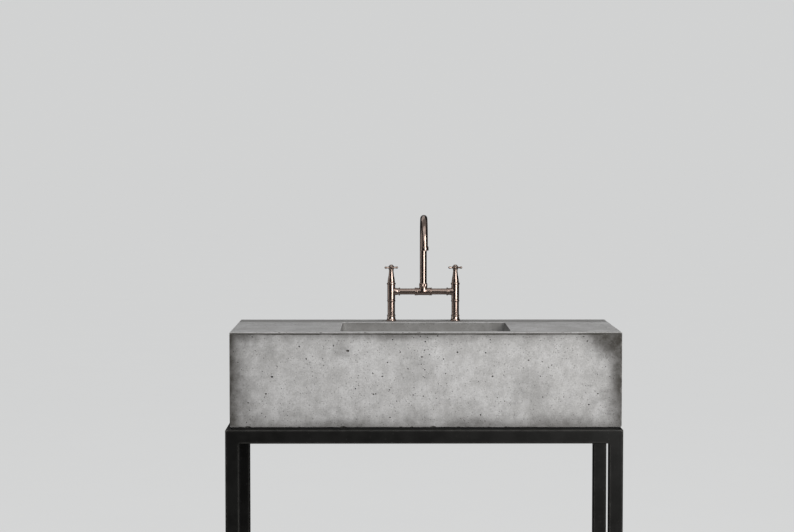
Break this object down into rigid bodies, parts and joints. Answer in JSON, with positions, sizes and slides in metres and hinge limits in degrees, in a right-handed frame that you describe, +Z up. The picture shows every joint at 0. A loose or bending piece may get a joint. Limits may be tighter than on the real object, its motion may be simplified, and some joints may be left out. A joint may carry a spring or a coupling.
{
  "type": "washstand",
  "caption": "Cast concrete trough washstand on a black box-section steel stand, with a bridge tap that has a swivelling swan-neck spout and cross handles.",
  "frame": {"origin": "on the floor under the middle of the stand", "axes": "+X to the right as seen from the front, +Y to the wall behind, +Z up; the front faces -Y"},
  "size_m": [1.136, 0.48, 1.2055],
  "materials": {
    "concrete": "cast concrete, sealed matt, with pin holes, cloudy mottling and darker edges",
    "black_steel": "black powder coat over welded box section",
    "black_plastic": "moulded black plastic",
    "rubber": "black rubber strip",
    "aged_copper": "copper-plated brass, polished, with light tarnish in the grooves"
  },
  "bodies": {
    "washstand": {"basin": "concrete", "bearing_strip_back": "rubber", "bearing_strip_front": "rubber", "bearing_strip_left": "rubber", "bearing_strip_right": "rubber", "foot_back_left": "black_plastic", "foot_back_right": "black_plastic", "foot_front_left": "black_plastic", "foot_front_right": "black_plastic", "leg_back_left": "black_steel", "leg_back_right": "black_steel", "leg_front_left": "black_steel", "leg_front_right": "black_steel", "shelf": "black_steel", "shelf_bearer_left": "black_steel", "shelf_bearer_right": "black_steel", "shelf_rail_back": "black_steel", "shelf_rail_front": "black_steel", "shelf_rail_left": "black_steel", "shelf_rail_right": "black_steel", "tap_backnut_left": "aged_copper", "tap_backnut_right": "aged_copper", "tap_bonnet_left": "aged_copper", "tap_bonnet_right": "aged_copper", "tap_bridge_left": "aged_copper", "tap_bridge_right": "aged_copper", "tap_collar_inner_left": "aged_copper", "tap_collar_inner_right": "aged_copper", "tap_collar_outer_left": "aged_copper", "tap_collar_outer_right": "aged_copper", "tap_flange_left": "aged_copper", "tap_flange_right": "aged_copper", "tap_gland": "aged_copper", "tap_pillar_left": "aged_copper", "tap_pillar_right": "aged_copper", "tap_tee": "aged_copper", "top_rail_back": "black_steel", "top_rail_front": "black_steel", "top_rail_left": "black_steel", "top_rail_right": "black_steel", "waste_body": "aged_copper", "waste_grid": "aged_copper", "waste_nut": "aged_copper"},
    "hot_handle": {"handle_left": "aged_copper", "handle_cap_left": "aged_copper"},
    "cold_handle": {"handle_right": "aged_copper", "handle_cap_right": "aged_copper"},
    "swan_neck": {"spout": "aged_copper", "spout_nozzle": "aged_copper"}
  },
  "joints": [
    {"name": "hot_handle_turn", "type": "hinge", "parent": "washstand", "child": "hot_handle", "pos_m": [-0.093, 0.182, 1.043], "axis": [0, 0, 1], "range_deg": [0, 90]},
    {"name": "cold_handle_turn", "type": "hinge", "parent": "washstand", "child": "cold_handle", "pos_m": [0.102, 0.182, 1.043], "axis": [0, 0, 1], "range_deg": [-90, 0]},
    {"name": "spout_swivel", "type": "hinge", "parent": "washstand", "child": "swan_neck", "pos_m": [0.0045, 0.182, 0.984], "axis": [0, 0, 1], "range_deg": [-90, 90]}
  ]
}
